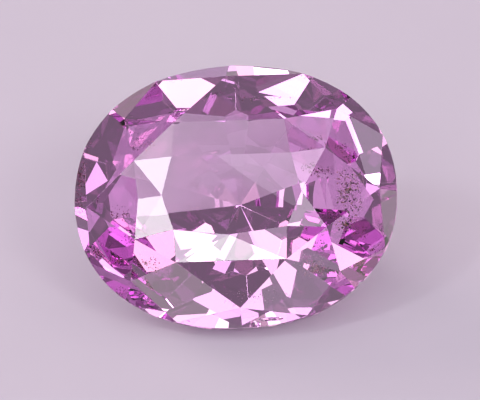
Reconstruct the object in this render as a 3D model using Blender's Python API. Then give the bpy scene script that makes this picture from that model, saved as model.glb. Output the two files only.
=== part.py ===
"""A pink sapphire: one loose oval stone, cut and polished from a single crystal.

The stone is made the way a cutter makes it: a block of rough is ground to the girdle outline,
and then every facet is one flat cut at its own angle and depth. A loose stone can't stand on
its point, so it lies on the wide facet at the front of its pavilion, and its table faces up and
forwards.

Units are metres, +Z is up, and the length of the stone runs along X.
"""

import math

import bmesh
import bpy
from mathutils import Matrix, Vector

NAME = "pink_sapphire"
MM = 0.001

# The girdle: an oval a little fuller than an ellipse, whose fullness would be 2.
LENGTH = 10.0 * MM
WIDTH = 8.25 * MM
FULLNESS = 2.18
GIRDLE_HEIGHT = 0.26 * MM
GIRDLE_FACETS = 64

# The crown: a seven-sided table, a shallow band of triangles that falls from it to an eight-sided
# break, and star, kite and upper girdle facets from the break to the girdle.
BREAK_HEIGHT = 0.95 * MM
BREAK_LENGTH = 5.94 * MM
BREAK_WIDTH = 4.4 * MM
BREAK_LONG_SIDE = 3.42 * MM
BREAK_SHORT_SIDE = 2.48 * MM
BREAK_CENTRE = Vector((-0.09, 0.03, 0)) * MM
LEFT_END_ASIDE = -0.2 * MM
STAR_REACH = 0.5
LEFT_END_BULGE = 0.08 * MM
TABLE_RISE = 0.15 * MM
TABLE_LENGTH = 4.33 * MM
TABLE_BACK_SIDE = 3.68 * MM
TABLE_FRONT_SIDES = 3.51 * MM
TABLE_FRONT_ASIDE = -0.06 * MM
TABLE_CENTRE = Vector((-0.03, -0.08, 0)) * MM
TABLE_BACK = 1.21 * MM
TABLE_SHOULDER = -1.09 * MM
TABLE_POINT = -1.3 * MM

# The pavilion, as compass directions around the stone and slopes from the girdle, in degrees.
# Ten main facets meet at the culet. Eight middle ones take off the corners between them and the
# girdle, each given with how far outside the outline it would reach the girdle. The smallest ones
# close the stone below the girdle.
PAVILION_DEPTH = 3.46 * MM
CULET = Vector((0, 0.03, 0)) * MM
MAIN_SLOPES = {0: 32.0, 40: 33.7, 68: 34.1, 90: 33.8, 112: 34.1, 140: 33.7}
MAIN_SLOPES |= {180: 32.0, 222: 36.6, 270: 37.6, 318: 36.6}
MIDDLE_SLOPES = {0: 48.1, 43: 45.0, 90: 50.5, 137: 45.0, 180: 48.1, 223: 45.5, 270: 51.3, 317: 45.5}
MIDDLE_OVERHANG = {0: 0.39, 43: 0.44, 90: 0.47, 137: 0.44, 180: 0.39, 223: 0.35, 270: 0.34, 317: 0.35}
LOWER_FACETS = 16
LOWER_EXTRA_SLOPE = 6.8

# The main facet that the stone lies on.
REST_DIRECTION = 270

# Rough to cut from: a block that clears the finished stone on every side.
ROUGH_SIZE = 14 * MM

COLOUR = (0.80, 0.50, 0.78, 1.0)
ROUGHNESS = 0.02
REFRACTIVE_INDEX = 1.765

SAME_PLACE = 1e-8


def facing(direction):
    """The level unit vector that points this many degrees around the stone from +X."""
    turn = math.radians(direction)
    return Vector((math.cos(turn), math.sin(turn), 0))


def tangent_distance(direction):
    """How far from the axis the upright flat that faces this way touches the girdle outline."""
    power = FULLNESS / (FULLNESS - 1)
    level = facing(direction)
    along = abs(level.x) * LENGTH / 2
    across = abs(level.y) * WIDTH / 2
    return (along**power + across**power) ** (1 / power)


def tangent_point(direction, height):
    """The point of the girdle outline where that flat touches."""
    power = 1 / (FULLNESS - 1)
    level = facing(direction)
    distance = tangent_distance(direction)
    along = (abs(level.x) * LENGTH / 2 / distance) ** power * LENGTH / 2
    across = (abs(level.y) * WIDTH / 2 / distance) ** power * WIDTH / 2
    return Vector((math.copysign(along, level.x), math.copysign(across, level.y), height))


def outline_point(towards, height):
    """The point of the girdle outline that a line from the axis through this point reaches."""
    along = abs(towards.x) / (LENGTH / 2)
    across = abs(towards.y) / (WIDTH / 2)
    scale = (along**FULLNESS + across**FULLNESS) ** (-1 / FULLNESS)
    return Vector((towards.x * scale, towards.y * scale, height))


def plane_through(first, second, third):
    """A crown facet through three points, as one point and its outward normal."""
    normal = (second - first).cross(third - first).normalized()
    if normal.dot(first) < 0:
        normal.negate()
    return first, normal


def girdle_cuts():
    """Upright flats all round the stone, each touching the oval outline."""
    turn = 360 / GIRDLE_FACETS
    directions = [(number + 0.5) * turn for number in range(GIRDLE_FACETS)]
    return [(facing(way) * tangent_distance(way), facing(way)) for way in directions]


def break_corners():
    """The eight corners below the table, counter-clockwise seen from above, from the right end."""
    long_half = BREAK_LONG_SIDE / 2
    short_half = BREAK_SHORT_SIDE / 2
    quarter = ((BREAK_LENGTH / 2, short_half), (long_half, BREAK_WIDTH / 2))
    right_back = [Vector((x, y, BREAK_HEIGHT)) for x, y in quarter]
    left_back = [Vector((-x, y, BREAK_HEIGHT)) for x, y in reversed(quarter)]
    left_front = [Vector((-x, -y, BREAK_HEIGHT)) for x, y in quarter]
    left_back[1].y += LEFT_END_ASIDE
    left_front[0].y += LEFT_END_ASIDE
    right_front = [Vector((x, -y, BREAK_HEIGHT)) for x, y in reversed(quarter)]
    return [corner + BREAK_CENTRE for corner in right_back + left_back + left_front + right_front]


def table_corners():
    """The table's seven corners, counter-clockwise seen from above, from the right end."""
    height = BREAK_HEIGHT + TABLE_RISE
    ends = TABLE_LENGTH / 2
    back = TABLE_BACK_SIDE / 2
    front = TABLE_FRONT_SIDES / 2
    places = ((ends, 0), (back, TABLE_BACK), (-back, TABLE_BACK), (-ends, 0))
    front_places = ((-front, TABLE_SHOULDER), (TABLE_FRONT_ASIDE, TABLE_POINT), (front, TABLE_SHOULDER))
    places += tuple((x + TABLE_FRONT_ASIDE, y) for x, y in front_places)
    return [Vector((x, y, height)) + TABLE_CENTRE for x, y in places]


def farthest(corners, level):
    """The corner that lies farthest in a level direction."""
    return max(corners, key=lambda corner: corner.dot(level))


def table_cuts():
    """The table and the triangles round it: one on each of its sides and one on each side of the break."""
    table = table_corners()
    ring = break_corners()
    left_end = (ring[3] + ring[4]) / 2 - Vector((LEFT_END_BULGE, 0, 0))
    ring.insert(4, left_end)
    cuts = [(table[0], Vector((0, 0, 1)))]
    for corners, others in ((table, ring), (ring, table)):
        for number, corner in enumerate(corners):
            following = corners[(number + 1) % len(corners)]
            along = following - corner
            outward = Vector((along.y, -along.x, 0))
            cuts.append(plane_through(corner, following, farthest(others, outward)))
    return cuts


def crown_cuts():
    """A kite at each corner of the break, then a star and two halves on each side."""
    corners = break_corners()
    edge = GIRDLE_HEIGHT / 2
    rise = BREAK_HEIGHT - edge

    kites = []
    tips = []
    for number, corner in enumerate(corners):
        arriving = (corner - corners[number - 1]).normalized()
        leaving = (corners[(number + 1) % 8] - corner).normalized()
        side = (arriving + leaving).normalized()
        outward = Vector((side.y, -side.x, 0))
        tip = tangent_point(math.degrees(math.atan2(outward.y, outward.x)), edge)
        run = (tip - corner).dot(outward)
        kites.append((corner, (outward * rise + Vector((0, 0, run))).normalized()))
        tips.append(tip)
    cuts = list(kites)

    for number, corner in enumerate(corners):
        following = (number + 1) % 8
        (point, normal), (next_point, next_normal) = kites[number], kites[following]
        ridge = normal.cross(next_normal)
        equations = Matrix((normal, next_normal, ridge))
        sides = Vector((normal.dot(point), next_normal.dot(next_point), ridge.dot(corner)))
        on_ridge = equations.inverted() @ sides
        top = on_ridge + ridge * ((BREAK_HEIGHT - on_ridge.z) / ridge.z)
        bottom = on_ridge + ridge * ((edge - on_ridge.z) / ridge.z)
        star_tip = top.lerp(bottom, STAR_REACH)
        middle = outline_point((tips[number] + tips[following]) / 2, edge)
        cuts.append(plane_through(corner, corners[following], star_tip))
        cuts.append(plane_through(star_tip, tips[number], middle))
        cuts.append(plane_through(star_tip, middle, tips[following]))
    return cuts


def sloping_cut(direction, slope, point):
    """A pavilion facet that faces outwards and down through this point."""
    tilt = math.radians(slope)
    return point, facing(direction) * math.sin(tilt) - Vector((0, 0, math.cos(tilt)))


def pavilion_cuts():
    """The main facets through the culet, the middle ones, and the steep ones that rise to the girdle."""
    edge = -GIRDLE_HEIGHT / 2
    tip = CULET + Vector((0, 0, edge - PAVILION_DEPTH))
    cuts = [sloping_cut(direction, slope, tip) for direction, slope in MAIN_SLOPES.items()]
    for direction, slope in MIDDLE_SLOPES.items():
        outside = facing(direction) * MIDDLE_OVERHANG[direction] * MM
        cuts.append(sloping_cut(direction, slope, tangent_point(direction, edge) + outside))
    for number in range(LOWER_FACETS):
        direction = (number + 0.5) * 360 / LOWER_FACETS
        to_culet = math.atan2(PAVILION_DEPTH, tangent_distance(direction))
        slope = math.degrees(to_culet) + LOWER_EXTRA_SLOPE
        cuts.append(sloping_cut(direction, slope, tangent_point(direction, edge)))
    return cuts


def cut_facet(stone, point, normal):
    """Grinds away everything outside one plane and leaves a flat facet there."""
    whole = stone.verts[:] + stone.edges[:] + stone.faces[:]
    ground = bmesh.ops.bisect_plane(
        stone, geom=whole, dist=SAME_PLACE, plane_co=point, plane_no=normal, clear_outer=True
    )
    rim = [piece for piece in ground["geom_cut"] if isinstance(piece, bmesh.types.BMEdge)]
    if len(rim) > 2:
        bmesh.ops.contextual_create(stone, geom=rim)


def cut_stone():
    """The finished stone with its girdle level, its table up and its centre on the axis."""
    stone = bmesh.new()
    bmesh.ops.create_cube(stone, size=ROUGH_SIZE)
    for point, normal in girdle_cuts() + table_cuts() + crown_cuts() + pavilion_cuts():
        cut_facet(stone, point, normal)
    bmesh.ops.remove_doubles(stone, verts=stone.verts[:], dist=0.004 * MM)
    bmesh.ops.recalc_face_normals(stone, faces=stone.faces[:])
    return stone


def lay_down(stone):
    """Turns the stone until the front facet is level underneath, then stands it on the floor."""
    slope = math.radians(MAIN_SLOPES[REST_DIRECTION])
    axle = facing(REST_DIRECTION + 90)
    bmesh.ops.rotate(stone, verts=stone.verts[:], cent=(0, 0, 0), matrix=Matrix.Rotation(slope, 3, axle))
    places = [vert.co for vert in stone.verts]
    low = Vector([min(place[axis] for place in places) for axis in range(3)])
    high = Vector([max(place[axis] for place in places) for axis in range(3)])
    middle = (low + high) / 2
    bmesh.ops.translate(stone, verts=stone.verts[:], vec=(-middle.x, -middle.y, -low.z))


def sapphire_material():
    """Clear mauve-pink crystal with a hard polish."""
    material = bpy.data.materials.new(NAME)
    material.use_nodes = True
    surface = material.node_tree.nodes["Principled BSDF"].inputs
    surface["Base Color"].default_value = COLOUR
    surface["Roughness"].default_value = ROUGHNESS
    surface["Metallic"].default_value = 0
    surface["IOR"].default_value = REFRACTIVE_INDEX
    surface["Transmission Weight"].default_value = 1
    return material


for leftover in list(bpy.data.objects):
    bpy.data.objects.remove(leftover, do_unlink=True)

stone = cut_stone()
lay_down(stone)
mesh = bpy.data.meshes.new(NAME)
stone.to_mesh(mesh)
stone.free()
mesh.materials.append(sapphire_material())
sapphire = bpy.data.objects.new(NAME, mesh)
collection = bpy.data.collections.new(NAME)
bpy.context.scene.collection.children.link(collection)
collection.objects.link(sapphire)
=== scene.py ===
"""A loose pink sapphire, seen as it lies on a pale surface under soft studio light."""

import math

import bmesh
import bpy
from mathutils import Matrix, Vector


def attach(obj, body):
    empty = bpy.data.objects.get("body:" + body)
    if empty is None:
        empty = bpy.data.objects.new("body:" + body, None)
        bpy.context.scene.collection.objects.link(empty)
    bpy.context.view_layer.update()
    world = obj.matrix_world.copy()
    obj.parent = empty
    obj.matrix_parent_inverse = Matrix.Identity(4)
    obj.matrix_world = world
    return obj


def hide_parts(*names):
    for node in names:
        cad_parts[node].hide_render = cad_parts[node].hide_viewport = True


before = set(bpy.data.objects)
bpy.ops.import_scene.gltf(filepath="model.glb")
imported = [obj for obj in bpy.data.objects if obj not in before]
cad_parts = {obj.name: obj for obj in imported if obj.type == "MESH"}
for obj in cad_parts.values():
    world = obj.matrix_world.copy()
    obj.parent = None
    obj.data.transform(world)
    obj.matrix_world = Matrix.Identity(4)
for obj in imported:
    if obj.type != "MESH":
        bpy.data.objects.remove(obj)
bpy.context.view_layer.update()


# The stone: one mauve-pink crystal of corundum, ground and polished flat by flat on a lap. Where two
# flats meet, handling has worn the junction to a hair-thin line that catches the light, and three small
# chips are broken out of the edge, two at the front and one at the right.
SAME_POINT = 2e-7
SAME_FLAT = math.radians(0.3)
JUNCTION_WEAR = 0.000012
SAPPHIRE_INDEX = 1.765
BODY_TINT = (0.885, 0.0, 0.855, 1.0)
TINT_PER_METRE = 68
POLISH_PATCHES_PER_METRE = (1400, 500, 1400)
SOFTEST_POLISH = 0.004

stone_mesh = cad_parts["pink_sapphire"].data.copy()
cut = bmesh.new()
cut.from_mesh(stone_mesh)
bmesh.ops.remove_doubles(cut, verts=cut.verts[:], dist=SAME_POINT)
bmesh.ops.dissolve_limit(cut, angle_limit=SAME_FLAT, verts=cut.verts[:], edges=cut.edges[:])
table_face = max((face for face in cut.faces if face.normal.z > 0.3), key=lambda face: face.calc_area())
table_normal = table_face.normal.copy()
upper_facets = [(face.calc_center_median(), face.normal.copy()) for face in cut.faces if face.normal.z > 0.2]
facet_planes = [(face.calc_center_median(), face.normal.copy()) for face in cut.faces]

# The stone's own directions: millimetres to the right, to the back and up its table's normal, from the
# middle of the girdle, whose flats stand at right angles to the table.
across = Vector((1, 0, 0))
own_directions = (across, table_normal.cross(across), table_normal)
girdle_flats = [face for face in cut.faces if abs(face.normal.dot(table_normal)) < 0.01]
girdle_places = [vert.co for face in girdle_flats for vert in face.verts]
girdle_middle = Vector()
for axis in own_directions:
    reach = [place.dot(axis) for place in girdle_places]
    girdle_middle += axis * (min(reach) + max(reach)) / 2
stone_axes = Matrix(own_directions).transposed().to_4x4()
stone_place = Matrix.Translation(girdle_middle) @ stone_axes @ Matrix.Scale(0.001, 4)

bmesh.ops.bevel(
    cut,
    geom=cut.edges[:],
    offset=JUNCTION_WEAR,
    offset_type="OFFSET",
    segments=1,
    affect="EDGES",
    clamp_overlap=True,
)
for face in cut.faces:
    face.smooth = False
cut.to_mesh(stone_mesh)
cut.free()
whole_stone = bpy.data.objects.new("whole_stone", stone_mesh)
bpy.context.scene.collection.objects.link(whole_stone)

# Each chip's middle and reach, along the stone's own directions.
CHIPS = (
    ((0.55, -4.02, 0.16), (0.16, 0.12, 0.14)),
    ((1.02, -3.88, 0.22), (0.42, 0.05, 0.12)),
    ((3.82, -2.86, 0.06), (0.11, 0.13, 0.16)),
)
hollows = bmesh.new()
for middle, size in CHIPS:
    shape = stone_place @ Matrix.Translation(middle) @ Matrix.Diagonal((*size, 1))
    bmesh.ops.create_icosphere(hollows, subdivisions=2, radius=1, matrix=shape)
hollow_mesh = bpy.data.meshes.new("chip_hollows")
hollows.to_mesh(hollow_mesh)
hollows.free()
hollow = bpy.data.objects.new("chip_hollows", hollow_mesh)
bpy.context.scene.collection.objects.link(hollow)
chipping = whole_stone.modifiers.new("chips", "BOOLEAN")
chipping.operation = "DIFFERENCE"
chipping.solver = "EXACT"
chipping.object = hollow
state = bpy.context.evaluated_depsgraph_get()
stone_mesh = bpy.data.meshes.new_from_object(whole_stone.evaluated_get(state), depsgraph=state)
bpy.data.objects.remove(whole_stone)
bpy.data.objects.remove(hollow)
stone_mesh.name = "faceted_stone"
stone = bpy.data.objects.new("faceted_stone", stone_mesh)
bpy.context.scene.collection.objects.link(stone)


def crystal_material(name, index, tint, per_metre):
    """Clear crystal whose colour comes from the depth of stone that the light has crossed."""
    material = bpy.data.materials.new(name)
    material.use_nodes = True
    nodes, links = material.node_tree.nodes, material.node_tree.links
    surface = nodes["Principled BSDF"]
    surface.inputs["Base Color"].default_value = (1, 1, 1, 1)
    surface.inputs["IOR"].default_value = index
    surface.inputs["Transmission Weight"].default_value = 1
    depth = nodes.new("ShaderNodeVolumeAbsorption")
    depth.inputs["Color"].default_value = tint
    depth.inputs["Density"].default_value = per_metre
    links.new(depth.outputs["Volume"], nodes["Material Output"].inputs["Volume"])

    # The lap leaves the polish a trifle softer in patches, twice as long as they are wide.
    place = nodes.new("ShaderNodeTexCoord")
    stretch = nodes.new("ShaderNodeMapping")
    stretch.inputs["Scale"].default_value = POLISH_PATCHES_PER_METRE
    lines = nodes.new("ShaderNodeTexNoise")
    lines.inputs["Scale"].default_value = 1
    lines.inputs["Detail"].default_value = 2
    polish = nodes.new("ShaderNodeMapRange")
    polish.inputs["From Min"].default_value = 0.45
    polish.inputs["From Max"].default_value = 0.75
    polish.inputs["To Min"].default_value = 0.0
    polish.inputs["To Max"].default_value = SOFTEST_POLISH
    links.new(place.outputs["Object"], stretch.inputs["Vector"])
    links.new(stretch.outputs["Vector"], lines.inputs["Vector"])
    links.new(lines.outputs["Fac"], polish.inputs["Value"])
    links.new(polish.outputs["Result"], surface.inputs["Roughness"])
    return material


stone_mesh.materials.clear()
stone_mesh.materials.append(crystal_material("sapphire_crystal", SAPPHIRE_INDEX, BODY_TINT, TINT_PER_METRE))
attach(stone, "root")
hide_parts("pink_sapphire")


# The inclusions: grains and needles of other minerals that grew into the sapphire, dark, rusty and
# pale, in a loose patch at the right, finer and paler at the right front, and in a few traces elsewhere.
NEAREST_GRAIN = 0.05
FULL_TURN = 6.28
GRAIN_CORNERS = 12
SAFELY_INSIDE = 0.00002


def grain_group(material):
    """Scatters small grains round a middle, thickest there, each of its own size and turn."""
    group = bpy.data.node_groups.new("grain_cloud", "GeometryNodeTree")
    sockets = group.interface
    sockets.new_socket(name="Geometry", in_out="INPUT", socket_type="NodeSocketGeometry")
    for label, kind in (
        ("Count", "NodeSocketInt"),
        ("Middle", "NodeSocketVector"),
        ("Reach", "NodeSocketVector"),
        ("Stretch", "NodeSocketVector"),
        ("Smallest", "NodeSocketFloat"),
        ("Largest", "NodeSocketFloat"),
        ("Seed", "NodeSocketInt"),
    ):
        sockets.new_socket(name=label, in_out="INPUT", socket_type=kind)
    sockets.new_socket(name="Geometry", in_out="OUTPUT", socket_type="NodeSocketGeometry")
    nodes, links = group.nodes, group.links
    given = nodes.new("NodeGroupInput").outputs
    result = nodes.new("NodeGroupOutput")

    heading = nodes.new("FunctionNodeRandomValue")
    heading.data_type = "FLOAT_VECTOR"
    heading.inputs[0].default_value = (-1, -1, -1)
    heading.inputs[1].default_value = (1, 1, 1)
    unit = nodes.new("ShaderNodeVectorMath")
    unit.operation = "NORMALIZE"
    far = nodes.new("FunctionNodeRandomValue")
    far.data_type = "FLOAT"
    far.inputs[2].default_value = NEAREST_GRAIN
    far.inputs[3].default_value = 1
    out_by = nodes.new("ShaderNodeVectorMath")
    out_by.operation = "SCALE"
    shaped = nodes.new("ShaderNodeVectorMath")
    shaped.operation = "MULTIPLY"
    place = nodes.new("ShaderNodeVectorMath")
    place.operation = "ADD"
    later = nodes.new("ShaderNodeMath")
    later.operation = "ADD"
    later.inputs[1].default_value = 7
    links.new(given["Seed"], heading.inputs["Seed"])
    links.new(given["Seed"], later.inputs[0])
    links.new(later.outputs[0], far.inputs["Seed"])
    links.new(heading.outputs[0], unit.inputs[0])
    links.new(unit.outputs["Vector"], out_by.inputs[0])
    links.new(far.outputs[1], out_by.inputs["Scale"])
    links.new(out_by.outputs["Vector"], shaped.inputs[0])
    links.new(given["Reach"], shaped.inputs[1])
    links.new(shaped.outputs["Vector"], place.inputs[0])
    links.new(given["Middle"], place.inputs[1])

    spots = nodes.new("GeometryNodePoints")
    links.new(given["Count"], spots.inputs["Count"])
    links.new(place.outputs["Vector"], spots.inputs["Position"])
    grain = nodes.new("GeometryNodeMeshIcoSphere")
    grain.inputs["Radius"].default_value = 1
    grain.inputs["Subdivisions"].default_value = 1
    turn = nodes.new("FunctionNodeRandomValue")
    turn.data_type = "FLOAT_VECTOR"
    turn.inputs[1].default_value = (FULL_TURN, FULL_TURN, FULL_TURN)
    size = nodes.new("FunctionNodeRandomValue")
    size.data_type = "FLOAT"
    grown = nodes.new("ShaderNodeVectorMath")
    grown.operation = "SCALE"
    links.new(given["Seed"], turn.inputs["Seed"])
    links.new(given["Seed"], size.inputs["Seed"])
    links.new(given["Smallest"], size.inputs[2])
    links.new(given["Largest"], size.inputs[3])
    links.new(given["Stretch"], grown.inputs[0])
    links.new(size.outputs[1], grown.inputs["Scale"])
    spread = nodes.new("GeometryNodeInstanceOnPoints")
    links.new(spots.outputs[0], spread.inputs["Points"])
    links.new(grain.outputs["Mesh"], spread.inputs["Instance"])
    links.new(turn.outputs[0], spread.inputs["Rotation"])
    links.new(grown.outputs["Vector"], spread.inputs["Scale"])
    joined = nodes.new("GeometryNodeRealizeInstances")
    coat = nodes.new("GeometryNodeSetMaterial")
    coat.inputs["Material"].default_value = material
    links.new(spread.outputs["Instances"], joined.inputs["Geometry"])
    links.new(joined.outputs["Geometry"], coat.inputs["Geometry"])
    links.new(coat.outputs["Geometry"], result.inputs["Geometry"])
    return group


def mineral_material(name, tones, grain_scale):
    """Included crystals of several minerals: each grain takes its tone from where it lies."""
    material = bpy.data.materials.new(name)
    material.use_nodes = True
    nodes, links = material.node_tree.nodes, material.node_tree.links
    surface = nodes["Principled BSDF"]
    surface.inputs["Roughness"].default_value = 0.35
    surface.inputs["IOR"].default_value = 1.3
    place = nodes.new("ShaderNodeTexCoord")
    patches = nodes.new("ShaderNodeTexNoise")
    patches.inputs["Scale"].default_value = grain_scale
    patches.inputs["Detail"].default_value = 1
    choice = nodes.new("ShaderNodeValToRGB")
    choice.color_ramp.interpolation = "CONSTANT"
    for number, (start, colour) in enumerate(tones):
        stop = choice.color_ramp.elements[number] if number < 2 else choice.color_ramp.elements.new(start)
        stop.position = start
        stop.color = (*colour, 1)
    links.new(place.outputs["Object"], patches.inputs["Vector"])
    links.new(patches.outputs["Fac"], choice.inputs["Fac"])
    links.new(choice.outputs["Color"], surface.inputs["Base Color"])
    return material


MIXED_TONES = (
    (0.0, (0.03, 0.01, 0.02)),
    (0.42, (0.16, 0.17, 0.12)),
    (0.5, (0.75, 0.38, 0.34)),
    (0.58, (0.9, 0.78, 0.86)),
)
PALE_TONES = ((0.0, (0.35, 0.22, 0.3)), (0.45, (0.85, 0.72, 0.8)), (0.6, (0.95, 0.9, 0.93)))

grain_finishes = (
    mineral_material("mixed_grains", MIXED_TONES, 9000),
    mineral_material("pale_grains", PALE_TONES, 12000),
)
mixed, pale = (grain_group(finish) for finish in grain_finishes)
# Each patch: its minerals, how many grains, its middle and reach and the grains' stretch, all along the
# stone's own directions, and the smallest and largest grain, in millimetres, and its own seed.
GRAIN_PATCHES = (
    (mixed, 260, (3.45, 0.0, 0.1), (0.55, 0.9, 0.3), (1, 0.8, 0.5), 0.010, 0.042, 3),
    (mixed, 26, (3.3, 0.1, 0.1), (0.5, 0.9, 0.3), (4, 0.4, 0.4), 0.015, 0.040, 11),
    (mixed, 70, (3.3, -1.0, 0.1), (0.4, 0.3, 0.3), (1, 0.7, 0.6), 0.012, 0.050, 5),
    (mixed, 120, (2.4, -2.2, 0.0), (0.5, 0.35, 0.3), (1, 0.6, 0.5), 0.010, 0.034, 8),
    (pale, 180, (2.3, -2.0, 0.0), (0.8, 0.5, 0.35), (1, 0.6, 0.3), 0.006, 0.020, 9),
    (pale, 110, (0.5, -3.1, 0.15), (1.3, 0.25, 0.15), (1, 0.6, 0.4), 0.010, 0.028, 13),
    (mixed, 60, (-2.7, -1.95, 0.1), (0.6, 0.3, 0.2), (1, 0.7, 0.5), 0.010, 0.035, 17),
    (mixed, 40, (-2.64, 1.57, 0.1), (0.4, 0.2, 0.2), (1, 0.6, 0.4), 0.010, 0.030, 19),
    (mixed, 40, (0.9, 2.9, 0.1), (1.1, 0.15, 0.15), (1.2, 0.6, 0.4), 0.010, 0.030, 23),
)
grown = bmesh.new()
for group, count, middle, reach, stretch, smallest, largest, seed in GRAIN_PATCHES:
    blank = bpy.data.meshes.new("grains_base")
    holder = bpy.data.objects.new("grains_base", blank)
    bpy.context.scene.collection.objects.link(holder)
    scatter = holder.modifiers.new("grains", "NODES")
    scatter.node_group = group
    given = {"Count": count, "Middle": middle, "Reach": reach, "Stretch": stretch}
    given |= {"Smallest": smallest, "Largest": largest, "Seed": seed}
    for socket in group.interface.items_tree:
        if socket.in_out == "INPUT" and socket.name in given:
            scatter[socket.identifier] = given[socket.name]
    scene_state = bpy.context.evaluated_depsgraph_get()
    grain_mesh = bpy.data.meshes.new_from_object(holder.evaluated_get(scene_state), depsgraph=scene_state)
    holder.modifiers.remove(scatter)
    bpy.data.objects.remove(holder)
    grain_mesh.transform(stone_place)
    older = len(grown.faces)
    grown.from_mesh(grain_mesh)
    grown.faces.ensure_lookup_table()
    for face in grown.faces[older:]:
        face.material_index = 0 if group == mixed else 1
    bpy.data.meshes.remove(grain_mesh)
# Only grains that lie wholly inside the stone are there to see.
grown.verts.ensure_lookup_table()
bare = []
for first in range(0, len(grown.verts), GRAIN_CORNERS):
    grain = grown.verts[first : first + GRAIN_CORNERS]
    outermost = max((vert.co - centre).dot(normal) for vert in grain for centre, normal in facet_planes)
    if outermost > -SAFELY_INSIDE:
        bare += grain
bmesh.ops.delete(grown, geom=bare, context="VERTS")
inclusion_mesh = bpy.data.meshes.new("inclusions")
grown.to_mesh(inclusion_mesh)
grown.free()
for finish in grain_finishes:
    inclusion_mesh.materials.append(finish)
inclusions = bpy.data.objects.new("inclusions", inclusion_mesh)
bpy.context.scene.collection.objects.link(inclusions)
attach(inclusions, "root")


# The surface the stone lies on: a plain pale floor of the studio, lilac-white and matt.
FLOOR_REACH = 0.25
FLOOR_GAP = 0.00003
FLOOR_COLOUR = (0.69, 0.65, 0.76)
FLOOR_MOTTLING = 0.03
FLOOR_PATCHES_PER_METRE = 120

floor_mesh = bpy.data.meshes.new("studio_floor")
around = ((-1, -1), (1, -1), (1, 1), (-1, 1))
floor_corners = [(side * FLOOR_REACH, depth * FLOOR_REACH, -FLOOR_GAP) for side, depth in around]
floor_mesh.from_pydata(floor_corners, [], [(0, 1, 2, 3)])
floor_material = bpy.data.materials.new("studio_floor")
floor_material.use_nodes = True
floor_surface = floor_material.node_tree.nodes["Principled BSDF"]
floor_surface.inputs["Roughness"].default_value = 0.9
floor_surface.inputs["Specular IOR Level"].default_value = 0.1
floor_nodes, floor_links = floor_material.node_tree.nodes, floor_material.node_tree.links
floor_place = floor_nodes.new("ShaderNodeTexCoord")
mottling = floor_nodes.new("ShaderNodeTexNoise")
mottling.inputs["Scale"].default_value = FLOOR_PATCHES_PER_METRE
mottling.inputs["Detail"].default_value = 4
floor_tones = floor_nodes.new("ShaderNodeMix")
floor_tones.data_type = "RGBA"
floor_tones.inputs[6].default_value = [tone * (1 - FLOOR_MOTTLING) for tone in FLOOR_COLOUR] + [1]
floor_tones.inputs[7].default_value = [tone * (1 + FLOOR_MOTTLING) for tone in FLOOR_COLOUR] + [1]
floor_links.new(floor_place.outputs["Object"], mottling.inputs["Vector"])
floor_links.new(mottling.outputs["Fac"], floor_tones.inputs[0])
floor_links.new(floor_tones.outputs[2], floor_surface.inputs["Base Color"])
floor_mesh.materials.append(floor_material)
studio_floor = bpy.data.objects.new("studio_floor", floor_mesh)
bpy.context.scene.collection.objects.link(studio_floor)


# The camera: a long macro lens, a little below the table's normal and to its right.
BELOW_NORMAL = 11.1
RIGHT_OF_NORMAL = 6.5
CAMERA_ROLL = -6.2
CAMERA_DISTANCE = 0.2
PIXELS_PER_METRE = 32300
PICTURE_WIDTH = 480
STONE_OFF_CENTRE = (-4.1, 2.5)


def direction(azimuth, elevation):
    """A unit vector at this azimuth to the right of the front and this height, in degrees."""
    turn, height = math.radians(azimuth), math.radians(elevation)
    return Vector((math.sin(turn) * math.cos(height), -math.cos(turn) * math.cos(height), math.sin(height)))


lens = bpy.data.cameras.new("macro_camera")
lens.sensor_width = 36
lens.lens = 36 * CAMERA_DISTANCE * PIXELS_PER_METRE / PICTURE_WIDTH
lens.clip_start = 0.001
camera = bpy.data.objects.new("macro_camera", lens)
bpy.context.scene.collection.objects.link(camera)
normal_height = math.degrees(math.asin(table_normal.z))
normal_turn = math.degrees(math.atan2(table_normal.x, -table_normal.y))
sight = direction(normal_turn + RIGHT_OF_NORMAL, normal_height - BELOW_NORMAL)
turned = (-sight).to_track_quat("-Z", "Y").to_matrix() @ Matrix.Rotation(math.radians(CAMERA_ROLL), 3, "Z")
aside = turned @ Vector((-STONE_OFF_CENTRE[0], -STONE_OFF_CENTRE[1], 0)) / PIXELS_PER_METRE
camera.matrix_world = Matrix.Translation(girdle_middle + aside + sight * CAMERA_DISTANCE) @ turned.to_4x4()
bpy.context.scene.camera = camera
bpy.context.view_layer.update()


# The light: four rings of round soft lamps with dark gaps between them and three stronger lamps, so that
# the facets show bright and dark by turns. Seven small lamps are each mirrored by one facet.
WHITE = (1.0, 0.96, 1.0)
WARM = (1.0, 0.95, 0.90)
ROSE = (1.0, 0.80, 0.76)
PINK = (0.95, 0.80, 1.0)
LILAC = (0.98, 0.82, 1.0)


def soft_lamp(way, distance, spread, brightness, colour, about):
    """A round lamp turned to the stone; its brightness is the radiance that the facets mirror."""
    width = 2 * distance * math.tan(math.radians(spread))
    lamp_data = bpy.data.lights.new("soft_lamp", "AREA")
    lamp_data.shape = "DISK"
    lamp_data.size = width
    lamp_data.energy = brightness * math.pi * math.pi * width * width / 4
    lamp_data.color = colour
    lamp = bpy.data.objects.new("soft_lamp", lamp_data)
    lamp.location = about + way * distance
    lamp.rotation_euler = (-way).to_track_quat("-Z", "Y").to_euler()
    bpy.context.scene.collection.objects.link(lamp)


def facet_lamp(right, back, spread, brightness, colour):
    """A lamp that the crown facet nearest this place, in the stone's millimetres, mirrors to the camera."""
    place = stone_place @ Vector((right, back, STAR_HEIGHT))
    centre, normal = min(upper_facets, key=lambda facet: (facet[0] - place).length)
    to_camera = (camera.matrix_world.translation - centre).normalized()
    mirrored = 2 * normal.dot(to_camera) * normal - to_camera
    soft_lamp(mirrored, FACET_LAMP_DISTANCE, spread, brightness, colour, centre)


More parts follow.
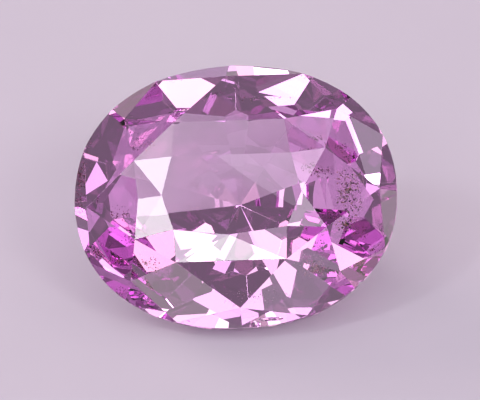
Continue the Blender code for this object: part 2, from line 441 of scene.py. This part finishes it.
RING_DISTANCE = 0.4
STRONG_LAMP_DISTANCE = 0.3
FACET_LAMP_DISTANCE = 0.25
STAR_HEIGHT = 1.1
SURROUND_STRENGTH = 0.18

# Each ring: its height, how many lamps, the first one's turn to the right of the front, half a lamp's
# width, all in degrees but the count, then the brightness and the tones in turn.
LAMP_RINGS = (
    (14, 12, -45, 8.0, 1.6, (ROSE, WARM, PINK)),
    (32, 9, 20, 7.0, 1.4, (PINK, WARM, ROSE)),
    (48, 10, -10, 6.0, 2.4, (PINK, ROSE, WARM)),
    (70, 6, 0, 8.0, 1.3, (PINK, WARM)),
)
for height, lamps, first_turn, spread, brightness, tones in LAMP_RINGS:
    for number in range(lamps):
        way = direction(first_turn + 360 * number / lamps, height)
        soft_lamp(way, RING_DISTANCE, spread, brightness, tones[number % len(tones)], girdle_middle)

# Each stronger lamp: its turn to the right of the front, height and half-width in degrees, brightness, tone.
STRONG_LAMPS = (
    (-87, 52, 5.5, 9.0, WHITE),
    (50, 43, 9.0, 4.0, WARM),
    (-123, 16, 12.0, 9.0, ROSE),
)
for turn, height, spread, brightness, tone in STRONG_LAMPS:
    soft_lamp(direction(turn, height), STRONG_LAMP_DISTANCE, spread, brightness, tone, girdle_middle)

# Each lit facet round the table: its place to the right and to the back, the lamp's half-width in degrees,
# brightness and tone. The left stars and the front triangle are the brightest.
LIT_FACETS = (
    (-2.37, 0.71, 0.6, 7.5, WHITE),
    (-2.73, -0.55, 0.6, 7.5, WHITE),
    (-2.37, -0.89, 0.6, 8.5, WHITE),
    (-1.26, -1.57, 0.6, 4.5, LILAC),
    (-0.11, -1.91, 1.2, 8.0, WHITE),
    (2.27, 0.77, 0.6, 4.0, LILAC),
    (2.23, -0.82, 0.6, 4.0, LILAC),
)
for right, back, spread, brightness, tone in LIT_FACETS:
    facet_lamp(right, back, spread, brightness, tone)

surround = bpy.data.worlds.new("studio")
bpy.context.scene.world = surround
surround.use_nodes = True
backdrop = surround.node_tree.nodes["Background"]
backdrop.inputs["Color"].default_value = (1, 1, 1, 1)
backdrop.inputs["Strength"].default_value = SURROUND_STRENGTH

bpy.context.scene.view_settings.view_transform = "Standard"
bpy.context.scene.cycles.max_bounces = 24
bpy.context.scene.cycles.transmission_bounces = 24
bpy.context.scene.cycles.glossy_bounces = 12
